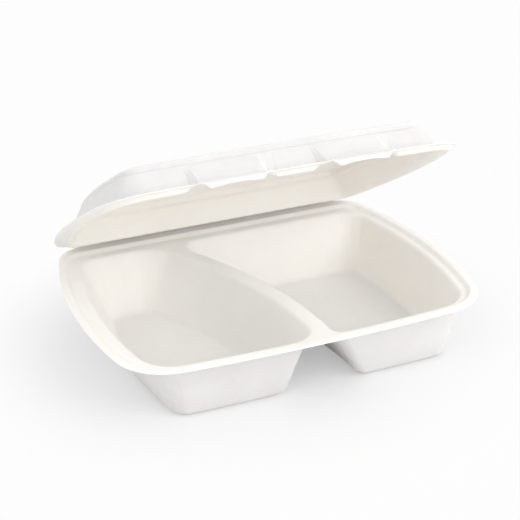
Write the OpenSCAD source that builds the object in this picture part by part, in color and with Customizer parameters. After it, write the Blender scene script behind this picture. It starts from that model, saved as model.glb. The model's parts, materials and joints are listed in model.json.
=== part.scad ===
/* [Body] */
// Overall length of the box, measured across its bulged ends
box_l = 246; // [220:1:280]
// Overall depth of the box, from the hinge line to the front lip
box_w = 198; // [170:1:220]
// Height of the base, from its resting face to the top of its rim
base_h = 43; // [34:0.5:56]
// Height of the lid above the rim
lid_h = 19.5; // [16:0.5:30]
// Thickness of the moulded pulp
wall = 0.9; // [0.8:0.05:1.1]

/* [Outline] */
// How far each end bulges out from a straight line
end_bulge = 14.5; // [8:0.5:20]
// How far the front edge bulges out
front_bulge = 5; // [2:0.5:9]
// Corner radius beside the hinge
back_r = 22; // [18:1:30]
// Corner radius at the front
front_r = 35; // [26:1:42]

/* [Compartments] */
// Lean of the front wall, as the run from ledge to floor
front_draft = 12; // [9:0.5:17]
// Lean of the back wall
back_draft = 13; // [8:0.5:16]
// Lean of the left end wall
left_draft = 17; // [12:0.5:20]
// Lean of the right end wall
right_draft = 10; // [8:0.5:18]
// Where the divider meets the front, from the middle
divider_x = 6; // [-8:0.5:12]
// Radius of the curved divider
divider_r = 300; // [250:1:450]
// Width of the divider at its top
divider_w = 9; // [7:0.5:11]
// Lean of the divider on the side of the small compartment
divider_draft_l = 14; // [8:0.5:16]
// Lean of the divider on the side of the large compartment
divider_draft_r = 23; // [14:0.5:25]
// Radius of the bend from the ledge down into a compartment
ledge_r = 2.4; // [1.6:0.1:2.8]
// Radius of the bend from the walls of a compartment to its floor
floor_r = 4.6; // [3:0.1:5.5]

/* [Lid] */
// How far the photographed lid stands open, in degrees
open_angle = 29.5; // [20:0.5:60]
// How far each locking bulge sits from the middle
lock_x = 38.5; // [35:0.5:43]
// Half the width of a locking bulge
lock_half = 24.5; // [20:0.5:27]

/* [Hidden] */

// Clearances between the two bodies: along the hinge, over the rim and round the lip
hinge_gap = 0.2;
seat_gap = 0.3;
lip_gap = 0.45;

// The ledge lies this far below the rim
ledge_drop = 2.4;
// The rim's flange is this much wider at the hinge and at the front than at the ends
back_extra = 6;
front_extra = 1.6;
// From the lip to the walls of the compartments: back, left, front and right
pot_in = [20.5, 14, 11.8, 10.2];
// The walls of the lid's ends start this much further in
lid_end_in = 2.6;
// Corner radius of the lid's top beside the hinge, where it lies in further than the rim's radius
lid_top_r = 4;
// Moulded pulp is never quite true: the edge and walls of the lid lie this far to the left
lid_set = 1.5;

// Facets round each corner, and along the back, the left end, the front and the right end
rim_corner = [8, 9, 9, 8];
pot_corner = [6, 6, 6, 6];
rim_count = [12, 10, 20, 10];
lid_count = [8, 10, 42, 10];
small_count = [6, 8, 6, 12];
large_count = [6, 12, 6, 8];

function unit(v) = v / norm(v);
function left_of(v) = [-v[1], v[0]];
function mix(a, b, t) = a + (b - a) * t;
function wrap(a) = a > 180 ? a - 360 : (a < -180 ? a + 360 : a);
function ease(t) = t <= 0 ? 0 : (t >= 1 ? 1 : t * t * (3 - 2 * t));
function sum(v, i = 0) = i >= len(v) ? 0 : v[i] + sum(v, i + 1);

// A side is a circle, [centre, radius, sign], drawn from p to q and bulging out by sag
function side(p, q, sag) =
    let (s = max(abs(sag), 0.02))
    let (c = norm(q - p))
    let (r = (c * c / 4 + s * s) / (2 * s))
    let (sg = sag < 0 ? -1 : 1)
    [(p + q) / 2 + left_of(unit(q - p)) * sg * (r - s), r, sg];

// The same side moved inwards by d
function inward(a, d) = [a[0], a[1] - a[2] * d, a[2]];

// Centre of the corner of radius f between sides a and b, the one nearer to the hint
function corner_centre(a, b, f, hint) =
    let (ra = a[1] - a[2] * f)
    let (rb = b[1] - b[2] * f)
    let (d = norm(b[0] - a[0]))
    let (u = unit(b[0] - a[0]))
    let (along = (d * d + ra * ra - rb * rb) / (2 * d))
    let (across = sqrt(max(ra * ra - along * along, 0)))
    let (p1 = a[0] + u * along + left_of(u) * across)
    let (p2 = a[0] + u * along - left_of(u) * across)
    norm(p1 - hint) < norm(p2 - hint) ? p1 : p2;

function angle_of(v) = atan2(v[1], v[0]);

// Points [x, y, inward nx, inward ny] round a corner
function corner_points(a, b, f, c, n) =
    let (ta = unit(c - a[0]) * a[2])
    let (tb = unit(c - b[0]) * b[2])
    let (a0 = angle_of(ta))
    let (da = wrap(angle_of(tb) - a0))
    [for (i = [0 : n]) let (g = a0 + da * i / n) [c[0] + f * cos(g), c[1] + f * sin(g), -cos(g), -sin(g)]];

// Points along side a between the corners centred on c0 and c1, without the two ends
function side_points(a, c0, c1, n) =
    let (a0 = angle_of(c0 - a[0]))
    let (da = wrap(angle_of(c1 - a[0]) - a0))
    [for (i = [1 : n - 1]) let (g = a0 + da * i / n) [
        a[0][0] + a[1] * cos(g), a[0][1] + a[1] * sin(g), -a[2] * cos(g), -a[2] * sin(g)
    ]];

// Points along the front side a at the given places
function points_at(a, xs) =
    [for (x = xs) let (u = (x - a[0][0]) / a[1], v = -sqrt(1 - u * u)) [x, a[0][1] + a[1] * v, -u, -v]];

// Closed outline through four sides, given as back, left, front and right
function outline(s, f, hints, corner, n, xs = []) =
    let (c = [for (i = [0 : 3]) corner_centre(s[i], s[(i + 1) % 4], f[i], hints[i])])
    concat(
        corner_points(s[0], s[1], f[0], c[0], corner[0]),
        side_points(s[1], c[0], c[1], n[1]),
        corner_points(s[1], s[2], f[1], c[1], corner[1]),
        len(xs) > 0 ? points_at(s[2], xs) : side_points(s[2], c[1], c[2], n[2]),
        corner_points(s[2], s[3], f[2], c[2], corner[2]),
        side_points(s[3], c[2], c[3], n[3]),
        corner_points(s[3], s[0], f[3], c[3], corner[3]),
        side_points(s[0], c[3], c[0], n[0])
    );

// One outline point moved in by d
function inset(p, d) = [p[0] + p[2] * d, p[1] + p[3] * d];

// Faces of the bands between rings of n points each, the first point being first
function bands(first, rings, n) =
    concat(
        [for (k = [0 : rings - 2]) for (i = [0 : n - 1]) let (j = (i + 1) % n, a = first + k * n)
            [a + i, a + j, a + n + j]],
        [for (k = [0 : rings - 2]) for (i = [0 : n - 1]) let (j = (i + 1) % n, a = first + k * n)
            [a + i, a + n + j, a + n + i]]
    );

// Triangles between two lines of points that run side by side, each time the shorter way across
function zip(points, p, q, i = 0, j = 0) =
    let (p_ends = i == len(p) - 1, q_ends = j == len(q) - 1)
    p_ends && q_ends ? [] :
    q_ends || (!p_ends && norm(points[p[i + 1]] - points[q[j]]) < norm(points[p[i]] - points[q[j + 1]]))
        ? concat([[p[i], p[i + 1], q[j]]], zip(points, p, q, i + 1, j))
        : concat([[q[j + 1], q[j], p[i]]], zip(points, p, q, i, j + 1));

// The points of a ring, given as its first point and its count, from its place a round to b
function stretch(ring, a, b) = [for (i = [a : b < a ? b + ring[1] : b]) ring[0] + i % ring[1]];

function reversed(v) = [for (i = [len(v) - 1 : -1 : 0]) v[i]];
function turned(faces) = [for (f = faces) reversed(f)];

// Underside of a flat face across a ring, between two opposite corners a and b
function cap(points, ring, a, b) =
    zip(points, stretch(ring, a, b), reversed(stretch(ring, b + 1, a - 1 + ring[1])));

// Places in an outline where its four corners start
function corner_starts(corner, n) =
    let (c1 = corner[0] + n[1])
    let (c2 = c1 + corner[1] + n[2])
    [0, c1, c2, c2 + corner[2] + n[3]];

// Places in an outline of the middles of its back left and front right corners
function opposite(corner, n) = [floor(corner[0] / 2), corner_starts(corner, n)[2] + floor(corner[2] / 2)];

// Place of the point of an outline that is nearest to point c
function nearest(line, c, i = 0, best = 0) =
    i == len(line) ? best :
    nearest(line, c, i + 1, norm(inset(line[i], 0) - c) < norm(inset(line[best], 0) - c) ? i : best);

// The four sides of the rim
half_l = box_l / 2 - end_bulge;
back_y = box_w / 2;
front_y = -box_w / 2 + front_bulge;
back_side = side([half_l, back_y], [-half_l, back_y], 0);
left_side = side([-half_l, back_y], [-half_l, front_y], end_bulge);
front_side = side([-half_l, front_y], [half_l, front_y], front_bulge);
right_side = side([half_l, front_y], [half_l, back_y], end_bulge);
rim_sides = [back_side, left_side, front_side, right_side];
rim_hints = [[-half_l, back_y], [-half_l, front_y], [half_l, front_y], [half_l, back_y]];
rim_radii = [back_r, front_r, front_r, back_r];
rim_line = outline(rim_sides, rim_radii, rim_hints, rim_corner, rim_count);

// The divider's middle line is one arc, upright near the front and swept to the left at the back
div_c = [divider_x - divider_r, -box_w * 0.42];
div_in = [div_c, divider_r, 1];
div_out = [div_c, divider_r, -1];
// The small compartment's wall leans more towards the back
div_low = [div_c + [0, -4], divider_r, 1];
div_back_x = div_c[0] + sqrt(divider_r * divider_r - pow(back_y - pot_in[0] - div_c[1], 2));

// Sides of a compartment at its top and at its floor, where the front is straighter
floor_y = front_y - front_bulge * 0.6;
floor_front = side([-half_l, floor_y], [half_l, floor_y], front_bulge * 0.4);
top_back = inward(back_side, pot_in[0]);
top_left = inward(left_side, pot_in[1]);
top_front = inward(front_side, pot_in[2]);
top_right = inward(right_side, pot_in[3]);
low_back = inward(back_side, pot_in[0] + back_draft);
low_left = inward(left_side, pot_in[1] + left_draft);
low_front = inward(floor_front, pot_in[2] + front_draft);
low_right = inward(right_side, pot_in[3] + right_draft);
small_top = [top_back, top_left, top_front, inward(div_in, divider_w / 2)];
small_floor = [low_back, low_left, low_front, inward(div_low, divider_w / 2 + divider_draft_l)];
large_top = [top_back, inward(div_out, divider_w / 2), top_front, top_right];
large_floor = [low_back, inward(div_out, divider_w / 2 + divider_draft_r), low_front, low_right];
small_hints = [[-half_l, back_y], [-half_l, front_y], [divider_x, front_y], [div_back_x, back_y]];
large_hints = [[div_back_x, back_y], [divider_x, front_y], [half_l, front_y], [half_l, back_y]];
small_top_r = [back_r - 8, front_r - 11, 16, 30];
small_floor_r = [12, 11, 9, 11];
large_top_r = [11, 8, front_r - 11, back_r - 3];
large_floor_r = [10, 6, 11, 12];

// Sections of a compartment as [height, move in]: its inside from the floor up to the ledge,
// and its outside from below the ledge down to the floor
ledge_z = base_h - ledge_drop;
bend_steps = 4;
bend = [for (i = [0 : bend_steps]) 90 * i / bend_steps];
inner_section = concat(
    [for (g = reversed(bend)) wall * [1, 1] + (floor_r - wall) * [1 - sin(g), 1 - cos(g)]],
    [for (g = reversed(bend)) [ledge_z - ledge_r * (1 - cos(g)), wall - ledge_r * (1 - sin(g))]]
);
outer_section = concat(
    [for (g = bend) [ledge_z - wall - (ledge_r - wall) * (1 - cos(g)), -(ledge_r - wall) * (1 - sin(g))]],
    [for (g = bend) floor_r * [1 - sin(g), 1 - cos(g)]]
);

// Rings of a compartment, whose outline changes from top to floor
function pot_rings(top, floor, section) = [
    for (s = section) for (i = [0 : len(top) - 1])
        let (p = mix(inset(floor[i], s[1]), inset(top[i], s[1]), s[0] / ledge_z))
        [p[0], p[1], s[0]]
];

// Rim of the base from its ledge out to the lip and back below.
// Columns: move in, depth below the rim, how much of the wider back and front it takes
rim_section = [
    [7.6, ledge_drop, 1],
    [6.7, ledge_drop - 0.3, 1],
    [4.9, 0.5, 1],
    [4.2, 0.07, 1],
    [3.2, 0, 0.8],
    [1.3, 0.08, 0],
    [0.45, 0.18, 0],
    [0.1, 0.36, 0],
    [0, 0.6, 0],
    [0.15, wall - 0.05, 0],
    [0.6, wall + 0.06, 0],
    [1.5, wall + 0.04, 0],
    [3.7, wall, 1],
    [4.5, wall + 0.35, 1],
    [6.1, ledge_drop + wall / 2, 1],
    [7.1, ledge_drop + wall, 1]
];

// How much wider the flange is where this outline point lies
function extra(p) = p[3] < 0 ? back_extra * p[3] * p[3] : front_extra * p[3] * p[3];

// 1 along the hinge, fading to 0 round the corners beside it
function at_hinge(p) = ease((p[1] - back_y + back_r * 0.5) / (back_r * 0.45));

// Rings of the rim, round its lip
function rim_rings() = [
    for (s = rim_section) for (p = rim_line)
        let (gap = s[0] < 1 ? hinge_gap * at_hinge(p) : 0)
        let (q = inset(p, s[0] + gap + s[2] * extra(p)))
        [q[0], q[1], base_h - s[1]]
];

// Places where the two compartments' outlines reach the ends of the divider
small_at = corner_starts(pot_corner, small_count);
large_at = corner_starts(pot_corner, large_count);
small_back = small_at[3] + pot_corner[3] / 2;
small_front = small_at[2] + pot_corner[2] / 2;
large_back = pot_corner[0] / 2;
large_front = large_at[1] + pot_corner[1] / 2;

// The flat land between the rim and the compartments, with the top of the divider. Each ring
// is given as its first point and its count
function land(points, rim, small, large) =
    let (round_both = concat(
        stretch(small, small_back, small_front),
        stretch(large, large_front, large_back),
        [small[0] + small_back]
    ))
    let (start = points[round_both[0]])
    let (rim_start = nearest(rim_line, [start[0], start[1]]))
    concat(
        zip(points, round_both, stretch(rim, rim_start, rim_start + rim[1])),
        zip(
            points,
            stretch(small, small_front, small_back),
            reversed(stretch(large, large_back, large_front))
        )
    );

module base_tray() {
    small_t = outline(small_top, small_top_r, small_hints, pot_corner, small_count);
    small_f = outline(small_floor, small_floor_r, small_hints, pot_corner, small_count);
    large_t = outline(large_top, large_top_r, large_hints, pot_corner, large_count);
    large_f = outline(large_floor, large_floor_r, large_hints, pot_corner, large_count);
    nr = len(rim_line);
    ns = len(small_t);
    nl = len(large_t);
    rows = len(inner_section);
    rim_rows = len(rim_section);
    small_in = nr * rim_rows;
    large_in = small_in + ns * rows;
    small_out = large_in + nl * rows;
    large_out = small_out + ns * rows;
    small_m = opposite(pot_corner, small_count);
    large_m = opposite(pot_corner, large_count);
    points = concat(
        rim_rings(),
        pot_rings(small_t, small_f, inner_section),
        pot_rings(large_t, large_f, inner_section),
        pot_rings(small_t, small_f, outer_section),
        pot_rings(large_t, large_f, outer_section)
    );
    faces = concat(
        bands(0, rim_rows, nr),
        bands(small_in, rows, ns),
        bands(large_in, rows, nl),
        bands(small_out, rows, ns),
        bands(large_out, rows, nl),
        turned(cap(points, [small_in, ns], small_m[0], small_m[1])),
        turned(cap(points, [large_in, nl], large_m[0], large_m[1])),
        cap(points, [large_out - ns, ns], small_m[0], small_m[1]),
        cap(points, [large_out + nl * (rows - 1), nl], large_m[0], large_m[1]),
        land(points, [0, nr], [large_in - ns, ns], [small_out - nl, nl]),
        turned(land(points, [nr * (rim_rows - 1), nr], [small_out, ns], [large_out, nl]))
    );
    color("ivory") polyhedron(points = points, faces = faces);
}

// Where the front of the lid is straight, from the middle out, and where its bulges sit
front_c = corner_centre(front_side, right_side, front_r, rim_hints[2]);
flat_half = front_c[0] + (front_c[0] - front_side[0][0]) / norm(front_c - front_side[0]) * front_r;
lock_c = min(lock_x, flat_half - lock_half - 6);

// Places along the front edge of the lid, close together where a bulge starts and ends
lock_steps = [-3, -1, 1, 3, 5, 7, 9, 11.5];
one_lock = concat(
    [for (d = lock_steps) d - lock_half],
    [-6, 0, 6],
    [for (i = [1 : len(lock_steps)]) lock_half - lock_steps[len(lock_steps) - i]]
);
outer_place = (lock_c + lock_half + 3 + flat_half) / 2;
lid_places = concat(
    [-outer_place],
    [for (d = one_lock) d - lock_c - lid_set],
    [0],
    [for (d = one_lock) d + lock_c - lid_set],
    [outer_place]
);
lid_line = outline(rim_sides, rim_radii, rim_hints, rim_corner, lid_count, lid_places);

// Lid section from the middle of its top round the flange to the middle of its underside.
// Columns: move in, height above the rim, how much of the wider back and front it takes,
// how much of the further set-in ends, then move in and height over a locking bulge. Rows
// that pass over the rim at the flanks of a bulge end in the height at which they do
shoulder = lid_h - 4.8;
flange_z = seat_gap + wall;
lip_out = -lip_gap - wall;
lid_section = [
    [20.9, lid_h, 1, 1, 22.1, lid_h],
    [20.0, lid_h - 0.3, 1, 1, 21.2, lid_h - 0.3],
    [19.4, lid_h - 1.2, 1, 1, 20.6, lid_h - 1.2],
    [18.9, shoulder + 0.7, 1, 1, 20.1, shoulder + 0.7],
    [18.2, shoulder + 0.15, 1, 1, 19.4, shoulder + 0.15],
    [17.2, shoulder - 0.1, 1, 1, 18.4, shoulder - 0.1],
    [16.4, shoulder - 0.7, 1, 1, 17.5, shoulder - 0.75],
    [15.9, shoulder - 1.8, 1, 1, 16.6, shoulder - 2.0],
    [12.4, 6.3, 1, 1, 10.2, 5.9],
    [10.2, flange_z + 0.4, 1, 1, 5.6, flange_z + 1.6],
    [9.4, flange_z - 1.3, 1, 0.5, 2.6, flange_z + 0.3, flange_z],
    [8.6, flange_z - 2, 1, 0.2, 0.6, flange_z - 0.3, flange_z],
    [7.6, flange_z - 1.95, 1, 0, lip_out + 0.75, flange_z - 0.9, flange_z],
    [5.8, flange_z - 0.45, 1, 0, lip_out + 0.25, flange_z - 1.7, flange_z],
    [5.0, flange_z - 0.05, 1, 0, lip_out + 0.1, flange_z - 2.4, flange_z],
    [3.6, flange_z, 0.6, 0, lip_out, -1.8, flange_z - 0.05],
    [2.1, flange_z - 0.05, 0, 0, lip_out + 0.2, -2.15, flange_z - 0.25],
    [1.6, seat_gap + wall / 2, 0, 0, lip_out + wall / 2, -2.2, seat_gap + wall / 3],
    [2.0, seat_gap + 0.04, 0, 0, -lip_gap - 0.05, -2.0, seat_gap + 0.04],
    [4.5, seat_gap, 1, 0, -lip_gap, -1.2, seat_gap],
    [5.2, seat_gap - 0.25, 1, 0, -lip_gap + 0.05, -0.2, seat_gap],
    [7.0, seat_gap - 2.05, 1, 0, 0.2, seat_gap + 0.05, seat_gap],
    [8.3, seat_gap - 2.4, 1, 0.1, 1.8, seat_gap + 0.15, seat_gap],
    [9.6, seat_gap - 1.8, 1, 0.4, 3.6, seat_gap + 0.45, seat_gap],
    [10.1 + wall, seat_gap + 0.9, 1, 1, 5.3 + wall, seat_gap + 1.5],
    [12.4 + wall, 6.0, 1, 1, 10.1 + wall, 5.1],
    [16.1 + wall, shoulder - 1.5 - wall, 1, 1, 16.9 + wall, shoulder - 1.7 - wall],
    [17.1 + wall, shoulder - 0.3 - wall, 1, 1, 18.2 + wall, shoulder - 0.3 - wall],
    [18.4 + wall, shoulder + 0.1 - wall, 1, 1, 19.6 + wall, shoulder + 0.1 - wall],
    [19.2 + wall, shoulder + 0.7 - wall, 1, 1, 20.4 + wall, shoulder + 0.7 - wall],
    [19.7 + wall, lid_h - 0.8 - wall, 1, 1, 20.9 + wall, lid_h - 0.8 - wall],
    [20.8 + wall, lid_h - wall, 1, 1, 22.0 + wall, lid_h - wall]
];

// Distance along the front from the middle of the nearer locking bulge
function from_lock(p) = abs(abs(p[0] + lid_set) - lock_c);

// 1 over a locking bulge of the front edge, falling evenly to 0 beside it
lock_flank = 12;
function at_lock(p) = p[1] > 0 ? 0 : min(1, max(0, (lock_half + 3 - from_lock(p)) / lock_flank));

// The flank of a bulge has three stages: up clear of the rim, out past its lip, and down over it
function stage(k, t) = min(1, max(0, 3 * t - k));

// Each bulge ends in two small lobes that reach a little lower and further out
function lobe(p) = exp(-pow((from_lock(p) - lock_half * 0.57) / 5.5, 2));

// Along the hinge the flange of the lid reaches right out to the gap
function lid_in(s, p) =
    let (h = s[0] < 4 ? at_hinge(p) * (1 - s[2]) : 0)
    let (skew = (s[3] + 1 - s[2]) * lid_set * p[2])
    mix(s[0] + s[2] * extra(p) + s[3] * lid_end_in * p[2] * p[2] - skew, s[0] - 1.6 + hinge_gap, h);

// Where the corners beside the hinge start, and the way out of the ends there
back_c = corner_centre(back_side, left_side, back_r, rim_hints[0]);
end_out = unit(back_c - left_side[0]) * left_side[2];
function at_back_corner(p) = abs(p[0]) > abs(back_c[0]) - 0.001 && -p[3] > end_out[1] - 0.001;

// A point of such a corner drawn in by d. Further in than the corner's radius allows, the corner
// keeps the radius of the lid's top, and moves in from the back and from the end instead
function tucked(s, p, d) =
    let (room = back_r - lid_top_r)
    let (hand = p[0] < 0 ? 1 : -1)
    let (from_back = max(0, lid_in(s, [0, back_y, 0, -1]) - room))
    let (from_end = max(0, lid_in(s, [0, back_y, -hand * end_out[0], -end_out[1]]) - room))
    inset(p, min(d, room)) + [hand * (from_end - from_back * end_out[1]) / abs(end_out[0]), -from_back];

// One point of the lid, from a row of its section and a point of its outline
function lid_point(s, p) =
    let (t = at_lock(p))
    let (over = len(s) > 6 ? s[6] : s[1])
    let (l = stage(2, t) * lobe(p) * ease(0.5 - s[5]))
    let (z = mix(mix(s[1], over, stage(0, t)), s[5], stage(2, t)) - l)
    let (d = mix(lid_in(s, p), s[4], stage(1, t)) - 0.5 * l)
    let (q = at_back_corner(p) ? tucked(s, p, d) : inset(p, d))
    [q[0], q[1] - back_y, z];

module lid() {
    n = len(lid_line);
    rows = len(lid_section);
    m = opposite(rim_corner, lid_count);
    points = [for (s = lid_section) for (p = lid_line) lid_point(s, p)];
    faces = concat(
        bands(0, rows, n),
        turned(cap(points, [0, n], m[0], m[1])),
        cap(points, [n * (rows - 1), n], m[0], m[1])
    );
    color("ivory")
        translate([0, back_y, base_h])
            rotate([-open_angle, 0, 0])
                polyhedron(points = points, faces = faces);
}

base_tray();
lid();
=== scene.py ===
import json
import math

import bpy
from mathutils import Matrix, Vector


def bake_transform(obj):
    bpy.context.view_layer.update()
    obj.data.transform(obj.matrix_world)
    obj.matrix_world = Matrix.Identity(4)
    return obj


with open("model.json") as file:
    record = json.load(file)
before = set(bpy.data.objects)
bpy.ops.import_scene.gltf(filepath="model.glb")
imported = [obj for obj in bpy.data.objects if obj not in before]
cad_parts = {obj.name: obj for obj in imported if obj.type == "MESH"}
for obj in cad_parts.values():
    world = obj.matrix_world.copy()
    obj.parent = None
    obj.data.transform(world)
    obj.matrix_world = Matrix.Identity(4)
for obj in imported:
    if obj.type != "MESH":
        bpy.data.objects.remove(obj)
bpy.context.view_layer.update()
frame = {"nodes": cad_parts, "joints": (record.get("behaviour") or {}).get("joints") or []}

# Measures in metres. The hinge line and the lid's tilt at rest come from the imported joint, so
# the crease and the lid's material follow the model.
MM = 0.001
crease = frame["joints"][0]
hinge = Vector(crease["pos_m"])
lid_tilt = math.radians(-crease["range_deg"][0])
lid_up = Vector((0, math.sin(lid_tilt), math.cos(lid_tilt)))
lid_front = Vector((0, -math.cos(lid_tilt), math.sin(lid_tilt)))


# Short helpers for node trees: a node with its settings, values or links for its sockets by name
# or by place (i0, i1, ...), and the few steps that come back often.
def add(tree, kind, **settings):
    node = tree.nodes.new(kind)
    for name, value in settings.items():
        setattr(node, name, value)
    return node


def feed(tree, node, **values):
    for name, value in values.items():
        numbered = name[1:].isdigit()
        socket = node.inputs[int(name[1:]) if numbered else name.replace("_", " ")]
        if isinstance(value, bpy.types.NodeSocket):
            tree.links.new(value, socket)
        else:
            socket.default_value = value
    return node


def maths(tree, operation, a, b=0.0, c=0.0):
    node = add(tree, "ShaderNodeMath", operation=operation)
    return feed(tree, node, i0=a, i1=b, i2=c).outputs[0]


def along(tree, place, direction):
    node = add(tree, "ShaderNodeVectorMath", operation="DOT_PRODUCT")
    return feed(tree, node, i0=place, i1=direction).outputs["Value"]


def noise(tree, place, **values):
    return feed(tree, add(tree, "ShaderNodeTexNoise"), Vector=place, **values).outputs["Fac"]


def step(tree, value, low, high, to_low=0.0, to_high=1.0):
    node = add(tree, "ShaderNodeMapRange", interpolation_type="SMOOTHSTEP")
    return feed(tree, node, i0=value, i1=low, i2=high, i3=to_low, i4=to_high).outputs[0]


def blend_colour(tree, factor, a, b):
    node = add(tree, "ShaderNodeMix", data_type="RGBA")
    return feed(tree, node, i0=factor, i6=a, i7=b).outputs[2]


def group(name, inputs, outputs):
    tree = bpy.data.node_groups.new(name, "ShaderNodeTree")
    for label, kind in inputs:
        tree.interface.new_socket(label, in_out="INPUT", socket_type=kind)
    for label, kind in outputs:
        tree.interface.new_socket(label, in_out="OUTPUT", socket_type=kind)
    return tree, tree.nodes.new("NodeGroupInput").outputs, tree.nodes.new("NodeGroupOutput")


def place_group(tree, kind, **values):
    return feed(tree, add(tree, "ShaderNodeGroup", node_tree=kind), **values).outputs


def show(name, data):
    item = bpy.data.objects.new(name, data)
    bpy.context.scene.collection.objects.link(item)
    return item


FLOAT, VECTOR = "NodeSocketFloat", "NodeSocketVector"


# Pulp: short plant fibres matted in all directions. The group gives the height of its fibres,
# the slow unevenness of its thickness, and a few dark husk specks. FIBRES holds the turn and the
# stretch of each layer.
FIBRES = (
    ((0.3, 0.2, 0.5), (1, 5, 2)),
    ((1.1, 0.7, 1.9), (4, 1, 5)),
    ((0.6, 2.2, 1.2), (5, 3, 1)),
)
FIBRE_SCALE = 420.0
CLOUD_SCALE, CLOUD_SHARE = 55.0, 0.6
WIDE_SCALE, WIDE_SHARE = 16.0, 0.4
HUSK_SCALE = 38.0
HUSK_SIZE = (0.018, 0.01)
HUSK_RARE = (0.86, 0.9)

pulp, pulp_in, pulp_out = group(
    "pulp_fibres", [("Place", VECTOR)], [("Height", FLOAT), ("Mottle", FLOAT), ("Speck", FLOAT)]
)
pulp_place = pulp_in["Place"]
layers = []
for turned, stretched in FIBRES:
    mapped = add(pulp, "ShaderNodeMapping")
    feed(pulp, mapped, Vector=pulp_place, Rotation=turned, Scale=stretched)
    layers.append(noise(pulp, mapped.outputs[0], Scale=FIBRE_SCALE, Detail=3.0, Roughness=0.55))
matted = maths(pulp, "MAXIMUM", maths(pulp, "MAXIMUM", layers[0], layers[1]), layers[2])
cloud = noise(pulp, pulp_place, Scale=CLOUD_SCALE, Detail=4.0, Roughness=0.6)
wide = noise(pulp, pulp_place, Scale=WIDE_SCALE, Detail=2.0, Roughness=0.5)
mottle = maths(
    pulp, "ADD", maths(pulp, "MULTIPLY", cloud, CLOUD_SHARE), maths(pulp, "MULTIPLY", wide, WIDE_SHARE)
)
husks = add(pulp, "ShaderNodeTexVoronoi", feature="F1")
feed(pulp, husks, Vector=pulp_place, Scale=HUSK_SCALE, Randomness=1.0)
small = step(pulp, husks.outputs["Distance"], *HUSK_SIZE)
rare = step(pulp, husks.outputs["Color"], *HUSK_RARE)
feed(pulp, pulp_out, Height=matted, Mottle=mottle, Speck=maths(pulp, "MULTIPLY", small, rare))


# Wire print: the outside of the pulp is drawn against a fine woven wire, which leaves a small
# diagonal weave in it. The inside is pressed smooth. Two pairs of crossed waves cover the walls
# that face the front and those that face the sides.
WIRE_PITCH = 0.95 * MM
WIRE_WARP = 2.5
WIRES = ((1, 0.25, 1), (1, 0.25, -1), (0.2, 1, 1), (0.2, 1, -1))

wire, wire_in, wire_out = group("wire_print", [("Place", VECTOR)], [("Height", FLOAT)])
warp = noise(wire, wire_in["Place"], Scale=70.0, Detail=1.0)
waves = []
for direction in WIRES:
    distance = along(wire, wire_in["Place"], Vector(direction).normalized())
    turns = maths(wire, "MULTIPLY", distance, 2 * math.pi / WIRE_PITCH)
    waves.append(maths(wire, "SINE", maths(wire, "MULTIPLY_ADD", warp, WIRE_WARP, turns)))
front_weave = maths(wire, "MULTIPLY", waves[0], waves[1])
side_weave = maths(wire, "MULTIPLY", waves[2], waves[3])
weave = maths(wire, "ADD", front_weave, side_weave)
feed(wire, wire_out, Height=maths(wire, "MULTIPLY_ADD", weave, 0.25, 0.5))


# Outer side: 1 where the skin's own normal faces away from the food, 0 inside, with a quick
# change over the lip. It puts the wire print on the outside, and it splits the painted warm
# bounce light of the inside from the painted cool shade of the outside.
facing, facing_in, facing_out = group(
    "outer_side", [("Normal", VECTOR), ("Outwards", VECTOR)], [("Mask", FLOAT)]
)
turned_out = along(facing, facing_in["Normal"], facing_in["Outwards"])
feed(facing, facing_out, Mask=step(facing, turned_out, -0.06, 0.1))


# Press creases: pressing the locking bulges folds the pulp beside them, as fine grooves that run
# up the front wall of the lid. CREASES holds each one's place along X and its lean, in mm, and
# its strength.
CREASES = (
    (-66, 5, 0.5), (-17.5, -4, 0.7), (-12.5, 2, 1.0), (12, -3, 0.5), (61, 3, 1.0), (66, -2, 0.6)
)
CREASE_HEIGHT = 12
CREASE_EDGES = (0.9 * MM, 0.1 * MM)
FRONT_FROM = (165 * MM, 180 * MM)
WALL_FROM = (-2 * MM, 2 * MM)
WALL_TO = (15 * MM, 9 * MM)

folds, folds_in, folds_out = group("press_creases", [("Place", VECTOR)], [("Height", FLOAT)])
parts = feed(folds, add(folds, "ShaderNodeSeparateXYZ"), Vector=folds_in["Place"])
shifted = add(folds, "ShaderNodeVectorMath", operation="SUBTRACT")
feed(folds, shifted, i0=folds_in["Place"], i1=hinge)
forward = along(folds, shifted.outputs[0], lid_front)
upward = along(folds, shifted.outputs[0], lid_up)
near_front = step(folds, forward, *FRONT_FROM)
on_wall = maths(
    folds, "MULTIPLY", step(folds, upward, *WALL_FROM), step(folds, upward, *WALL_TO)
)
depth = 0.0
for x, lean, strength in CREASES:
    leaned = maths(folds, "MULTIPLY_ADD", upward, -lean / CREASE_HEIGHT, parts.outputs["X"])
    away = maths(folds, "ABSOLUTE", maths(folds, "SUBTRACT", leaned, x * MM))
    depth = maths(folds, "MULTIPLY_ADD", step(folds, away, *CREASE_EDGES), strength, depth)
where = maths(folds, "MULTIPLY", near_front, on_wall)
feed(folds, folds_out, Height=maths(folds, "MULTIPLY", where, depth))


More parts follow.
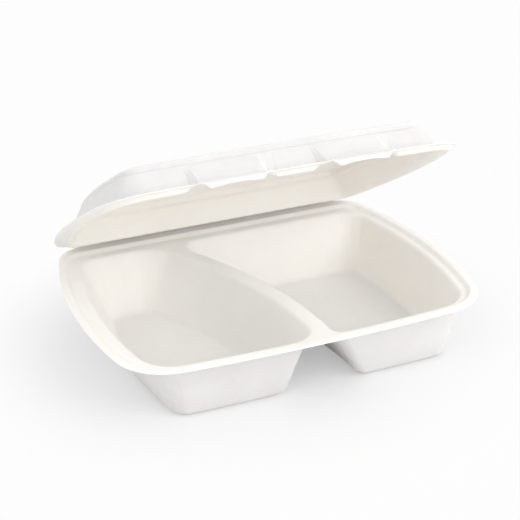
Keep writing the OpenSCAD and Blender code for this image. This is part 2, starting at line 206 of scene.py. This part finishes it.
# Pulp material: smooth inside and wire-printed outside, slightly cloudy where the pulp is thicker,
# with a few husk specks. Both sides are the same pulp: the inside is painted a lighter, warm ivory
# as painted bounce light, and the outside a darker, cooler grey as painted shade. The heights are
# shares of BUMP_DEPTH.
# The two inside colours are painted bounce light, and the two outside colours are painted shade.
INSIDE_LIT = (0.92, 0.897, 0.865, 1)
INSIDE_LIT_DEEP = (0.895, 0.868, 0.832, 1)
OUTSIDE_SHADED = (0.76, 0.753, 0.753, 1)
OUTSIDE_SHADED_DEEP = (0.725, 0.717, 0.716, 1)
HUSK = (0.42, 0.36, 0.28, 1)
CREASE_TAN = (0.62, 0.55, 0.44, 1)
HUSK_SHARE = 0.55
CREASE_TAN_SHARE = 0.7
BUMP_DEPTH = 0.16 * MM
FIBRE_BUMP, MOTTLE_BUMP, WIRE_BUMP, CREASE_BUMP = 0.55, 0.9, 0.65, -2.6
ROUGH = (0.82, 0.92)
LIGHT_REACH = 1.2 * MM


def pulp_material(name, outwards, creased=False, tan_crease=False):
    material = bpy.data.materials.new(name)
    material.use_nodes = True
    tree = material.node_tree
    tree.nodes.clear()
    coordinates = add(tree, "ShaderNodeTexCoord").outputs
    place = coordinates["Object"]
    fibres = place_group(tree, pulp, Place=place)
    woven = place_group(tree, wire, Place=place)["Height"]
    mask = place_group(tree, facing, Normal=coordinates["Normal"], Outwards=outwards)["Mask"]

    thick = step(tree, fibres["Mottle"], 0.3, 0.7)
    # The inside colour is painted warm bounce light and the outside colour is painted cool shade.
    lit_inside = blend_colour(tree, thick, INSIDE_LIT_DEEP, INSIDE_LIT)
    shaded_outside = blend_colour(tree, thick, OUTSIDE_SHADED_DEEP, OUTSIDE_SHADED)
    husk = maths(tree, "MULTIPLY", fibres["Speck"], HUSK_SHARE)
    colour = blend_colour(tree, husk, blend_colour(tree, mask, lit_inside, shaded_outside), HUSK)
    # The crease web's colour is mixed most of the way to a darker, warmer tan.
    if tan_crease:
        colour = blend_colour(tree, CREASE_TAN_SHARE, colour, CREASE_TAN)

    height = maths(tree, "MULTIPLY", fibres["Mottle"], MOTTLE_BUMP)
    height = maths(tree, "MULTIPLY_ADD", fibres["Height"], FIBRE_BUMP, height)
    woven_outside = maths(tree, "MULTIPLY", woven, mask)
    height = maths(tree, "MULTIPLY_ADD", woven_outside, WIRE_BUMP, height)
    if creased:
        grooves = place_group(tree, folds, Place=place)["Height"]
        height = maths(tree, "MULTIPLY_ADD", grooves, CREASE_BUMP, height)
    bump = feed(tree, add(tree, "ShaderNodeBump"), Strength=0.55, Distance=BUMP_DEPTH, Height=height)

    shader = add(tree, "ShaderNodeBsdfPrincipled")
    rough = step(tree, fibres["Mottle"], 0.2, 0.8, *ROUGH)
    feed(tree, shader, Base_Color=colour, Roughness=rough, Normal=bump.outputs[0],
         Specular_IOR_Level=0.32, Sheen_Weight=0.06, Sheen_Roughness=0.6,
         Subsurface_Weight=1.0, Subsurface_Radius=(1.0, 0.93, 0.84), Subsurface_Scale=LIGHT_REACH)
    feed(tree, add(tree, "ShaderNodeOutputMaterial"), Surface=shader.outputs[0])
    return material


tray_pulp = pulp_material("tray_pulp", (0, 0, -1))
lid_pulp = pulp_material("lid_pulp", lid_up, creased=True)
crease_pulp = pulp_material("crease_pulp", (0, 1, 0), tan_crease=True)


# Moulded skin: the tray and the lid keep their solids. Each facet is split evenly and shaded
# smooth, so that the bends are soft and the floors and walls stay flat between them.
SPLITS = 2
WELD = 0.004 * MM

skin = bpy.data.node_groups.new("smooth_skin", "GeometryNodeTree")
skin.interface.new_socket("Geometry", in_out="INPUT", socket_type="NodeSocketGeometry")
skin.interface.new_socket("Geometry", in_out="OUTPUT", socket_type="NodeSocketGeometry")
solid = skin.nodes.new("NodeGroupInput").outputs[0]
weld = feed(skin, add(skin, "GeometryNodeMergeByDistance"), Geometry=solid, Distance=WELD)
split = feed(skin, add(skin, "GeometryNodeSubdivideMesh"), Mesh=weld.outputs[0], Level=SPLITS)
shade = feed(skin, add(skin, "GeometryNodeSetShadeSmooth"), i0=split.outputs[0])
feed(skin, skin.nodes.new("NodeGroupOutput"), i0=shade.outputs[0])

for name, material in (("base_tray", tray_pulp), ("lid", lid_pulp)):
    node = frame["nodes"][name]
    node.data.materials.clear()
    node.data.materials.append(material)
    node.modifiers.new("smooth_skin", "NODES").node_group = skin


# Crease web: the thin pressed strip of pulp that joins the tray's back flange to the lid, coloured
# a darker, warmer tan. It is bent round the hinge line, with its edges buried in both flanges.
WEB_HALF = 84 * MM
WEB_STEPS = 84
WEB_THICK = 0.4 * MM
BEND_STEPS = 8


def tray_place(forwards, height):
    return hinge + Vector((0, -forwards, height)) * MM


def lid_place(forwards, height):
    return hinge + (forwards * lid_front + height * lid_up) * MM


def web_line():
    low, high = tray_place(0.3, -0.55), lid_place(0.3, 0.75)
    pull = tray_place(-0.28, 0.08) * 2 - (low + high) / 2
    bend = []
    for i in range(BEND_STEPS + 1):
        t = i / BEND_STEPS
        bend.append((1 - t) ** 2 * low + 2 * t * (1 - t) * pull + t ** 2 * high)
    return [tray_place(1.1, -0.5), *bend, lid_place(1.1, 0.75)]


middle_line = web_line()
outer, inner = [], []
for i, point in enumerate(middle_line):
    ahead = middle_line[min(i + 1, len(middle_line) - 1)] - middle_line[max(i - 1, 0)]
    across = Vector((0, ahead.z, -ahead.y)).normalized() * WEB_THICK / 2
    outer.append(point + across)
    inner.append(point - across)
ring = outer + inner[::-1]
n = len(ring)
web_points, web_faces = [], []
for k in range(WEB_STEPS + 1):
    x = -WEB_HALF + 2 * WEB_HALF * k / WEB_STEPS
    web_points += [(x, p.y, p.z) for p in ring]
for k in range(WEB_STEPS):
    for i in range(n):
        j = (i + 1) % n
        web_faces.append((k * n + i, k * n + j, (k + 1) * n + j, (k + 1) * n + i))
web_faces.append(tuple(range(n - 1, -1, -1)))
web_faces.append(tuple(WEB_STEPS * n + i for i in range(n)))
web_mesh = bpy.data.meshes.new("crease_web")
web_mesh.from_pydata(web_points, [], web_faces)
web_mesh.shade_smooth()
web_mesh.materials.append(crease_pulp)
web = show("crease_web", web_mesh)
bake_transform(web)


# Floor: a wide pale sheet. What the camera sees of it is lifted by a faint glow that grows away
# from the box, so that it goes on evenly to the edge of the picture, while the box still casts
# its soft shadow on it.
FLOOR_HALF = 6.0
FLOOR_DROP = 0.1 * MM
FLOOR_PAINT = (0.78, 0.78, 0.78, 1)
FLOOR_SEEN = (0.88, 0.88, 0.88, 1)
WHITE = (1, 1, 1, 1)
BACKGROUND = 0.985
GLOW_FROM, GLOW_TO = 0.11, 0.22
GLOW_LEAST, GLOW_MOST = 0.38, 1.0

floor_mesh = bpy.data.meshes.new("floor")
corners = [(FLOOR_HALF * a, FLOOR_HALF * b, 0) for a, b in ((-1, -1), (1, -1), (1, 1), (-1, 1))]
floor_mesh.from_pydata(corners, [], [(0, 1, 2, 3)])
floor = show("floor", floor_mesh)
floor.location.z = -FLOOR_DROP
floor_material = bpy.data.materials.new("floor")
floor_material.use_nodes = True
tree = floor_material.node_tree
tree.nodes.clear()
to_camera = add(tree, "ShaderNodeLightPath").outputs["Is Camera Ray"]
paint = blend_colour(tree, to_camera, FLOOR_PAINT, FLOOR_SEEN)
diffuse = feed(tree, add(tree, "ShaderNodeBsdfDiffuse"), Color=paint)
glow = feed(tree, add(tree, "ShaderNodeEmission"), Color=WHITE, Strength=BACKGROUND)
spot = add(tree, "ShaderNodeVectorMath", operation="LENGTH")
feed(tree, spot, i0=add(tree, "ShaderNodeTexCoord").outputs["Object"])
lift = step(tree, spot.outputs["Value"], GLOW_FROM, GLOW_TO, GLOW_LEAST, GLOW_MOST)
share = maths(tree, "MULTIPLY", to_camera, lift)
lifted = feed(tree, add(tree, "ShaderNodeMixShader"), i0=share, i1=diffuse.outputs[0], i2=glow.outputs[0])
feed(tree, add(tree, "ShaderNodeOutputMaterial"), Surface=lifted.outputs[0])
floor_mesh.materials.append(floor_material)


# Light: an even pale room, a broad soft box from the right, in front and above, a weaker one from
# the left, and a low one in front that reaches in under the lid.
ROOM = 0.87
LAMPS = (
    ("key", (0.85, -1.35, 1.15), (1.2, 1.0), 11),
    ("fill", (-1.3, -0.6, 1.2), (1.4, 1.0), 3.2),
    ("front", (0.4, -1.7, 0.5), (1.2, 0.5), 4.8),
)
AIM = Vector((0, 0, 0.05))

world = bpy.data.worlds.new("room")
bpy.context.scene.world = world
world.use_nodes = True
tree = world.node_tree
tree.nodes.clear()
to_camera = add(tree, "ShaderNodeLightPath").outputs["Is Camera Ray"]
room = feed(tree, add(tree, "ShaderNodeBackground"), Color=WHITE, Strength=ROOM)
seen = feed(tree, add(tree, "ShaderNodeBackground"), Color=WHITE, Strength=BACKGROUND)
both = feed(tree, add(tree, "ShaderNodeMixShader"), i0=to_camera, i1=room.outputs[0], i2=seen.outputs[0])
feed(tree, add(tree, "ShaderNodeOutputWorld"), Surface=both.outputs[0])

for name, place, size, power in LAMPS:
    lamp_data = bpy.data.lights.new(name, "AREA")
    lamp_data.shape = "RECTANGLE"
    lamp_data.size, lamp_data.size_y = size
    lamp_data.energy = power
    lamp = show(name, lamp_data)
    lamp.location = place
    lamp.rotation_euler = (AIM - Vector(place)).to_track_quat("-Z", "Y").to_euler()


# Camera: at the photograph's view, with the small shift that its framing needs. The place,
# turn, elevation and roll were fitted to the rim and the lid. Lens and shift are in pixels of
# the picture's width.
CAMERA_PLACE = Vector((-243.8, -635.4, 360.7)) * MM
AZIMUTH, ELEVATION, ROLL = (math.radians(a) for a in (-19.3, 19.8, -2.84))
PICTURE, LENS, SHIFT_RIGHT, SHIFT_UP = 520, 1169.3, 36, -90
SENSOR = 36

level = Vector((math.cos(AZIMUTH), math.sin(AZIMUTH), 0))
outwards = Vector((math.sin(AZIMUTH), -math.cos(AZIMUTH), 0))
back = outwards * math.cos(ELEVATION) + Vector((0, 0, math.sin(ELEVATION)))
upright = back.cross(level)
right = level * math.cos(ROLL) + upright * math.sin(ROLL)
up = upright * math.cos(ROLL) - level * math.sin(ROLL)
camera_data = bpy.data.cameras.new("camera")
camera_data.sensor_width = SENSOR
camera_data.lens = SENSOR * LENS / PICTURE
camera_data.shift_x = SHIFT_RIGHT / PICTURE
camera_data.shift_y = SHIFT_UP / PICTURE
camera_data.clip_start, camera_data.clip_end = 0.05, 50
camera = show("camera", camera_data)
turn = Matrix((right, up, back)).transposed().to_4x4()
camera.matrix_world = Matrix.Translation(CAMERA_PLACE) @ turn
bpy.context.scene.camera = camera
bpy.context.scene.view_settings.view_transform = "Standard"
